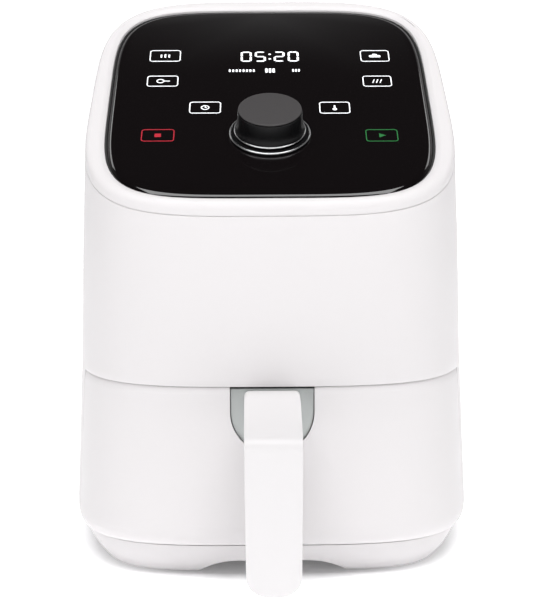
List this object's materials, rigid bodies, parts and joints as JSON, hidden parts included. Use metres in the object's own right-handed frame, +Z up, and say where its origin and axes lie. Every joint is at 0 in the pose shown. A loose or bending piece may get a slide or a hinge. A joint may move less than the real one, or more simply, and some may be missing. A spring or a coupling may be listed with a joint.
{
  "type": "air fryer",
  "caption": "Compact air fryer with a rounded white body, a sloped black glass touch panel with a dial, and a pull-out drawer with a drop handle.",
  "frame": {"origin": "on the table, under the middle of the whole appliance, handle and cord gland included", "axes": "+Z up; the drawer opens towards -Y; +X is to the right of someone facing the panel"},
  "size_m": [0.2104, 0.2568, 0.2869],
  "materials": {
    "white_plastic": "satin",
    "grey_plastic": "satin",
    "black_plastic": "gloss",
    "black_glass": "polished, printed black behind",
    "dial_grey": "matte",
    "nonstick_coating": "satin non-stick",
    "sheet_metal": "rolled",
    "bare_steel": "plain",
    "rubber": "matte",
    "circuit_board": "solder mask",
    "mineral_wool": "fibrous",
    "clear_plastic": "frosted"
  },
  "bodies": {
    "root": {"housing": "white_plastic", "panel_bezel": "white_plastic", "glass_panel": "black_glass", "glass_gasket": "black_plastic", "base": "white_plastic", "rubber_foot_1": "rubber", "rubber_foot_2": "rubber", "rubber_foot_3": "rubber", "rubber_foot_4": "rubber", "base_screw_1": "bare_steel", "base_screw_2": "bare_steel", "base_screw_3": "bare_steel", "base_screw_4": "bare_steel", "rear_grille": "grey_plastic", "cord_gland": "rubber", "chamber_liner": "sheet_metal", "left_guide": "bare_steel", "right_guide": "bare_steel", "reflector": "sheet_metal", "heater_guard": "bare_steel", "heater": "bare_steel", "insulation_pad": "mineral_wool", "mounting_deck": "black_plastic", "exhaust_duct": "sheet_metal", "thermal_cutout": "bare_steel", "temperature_probe": "bare_steel", "motor": "bare_steel", "motor_bracket": "sheet_metal", "drawer_switch": "black_plastic", "control_board": "circuit_board", "display_module": "black_plastic", "light_guide": "clear_plastic", "encoder_body": "bare_steel", "knob_ring": "black_plastic", "power_board": "circuit_board", "inner_lead": "black_plastic"},
    "drawer": {"drawer_front": "white_plastic", "drawer_inner_panel": "black_plastic", "handle_plate": "grey_plastic", "handle_bracket": "bare_steel", "handle_shell": "white_plastic", "handle_back": "white_plastic", "handle_screw_1": "bare_steel", "handle_screw_2": "bare_steel", "pan": "nonstick_coating", "pan_screw_1": "bare_steel", "pan_screw_2": "bare_steel"},
    "tray": {"crisper_tray": "nonstick_coating", "tray_bumper_1": "rubber", "tray_bumper_2": "rubber", "tray_bumper_3": "rubber", "tray_bumper_4": "rubber"},
    "dial": {"knob": "black_plastic", "knob_cap": "dial_grey", "encoder_shaft": "bare_steel"},
    "rotor": {"motor_shaft": "bare_steel", "convection_fan": "sheet_metal", "fan_nut": "bare_steel", "cooling_fan": "black_plastic"},
    "plunger": {"switch_plunger": "grey_plastic"}
  },
  "joints": [
    {"name": "drawer_slide", "type": "slide", "parent": "root", "child": "drawer", "axis": [0, -1, 0], "range_m": [0, 0.19]},
    {"name": "tray_lift", "type": "slide", "parent": "drawer", "child": "tray", "axis": [0, 0, 1], "range_m": [0, 0.06]},
    {"name": "dial_turn", "type": "hinge", "parent": "root", "child": "dial", "pos_m": [0, -0.00969, 0.2216], "axis": [0, -0.4368, 0.8996], "continuous": true},
    {"name": "fan_spin", "type": "hinge", "parent": "root", "child": "rotor", "pos_m": [0, 0.02301, 0.15], "axis": [0, 0, 1], "continuous": true},
    {"name": "switch_travel", "type": "slide", "parent": "root", "child": "plunger", "axis": [0, -1, 0], "range_m": [0, 0.003]}
  ],
  "couplings": [
    {"joint": "switch_travel", "follows": "drawer_slide", "ratio": 0.01578}
  ]
}
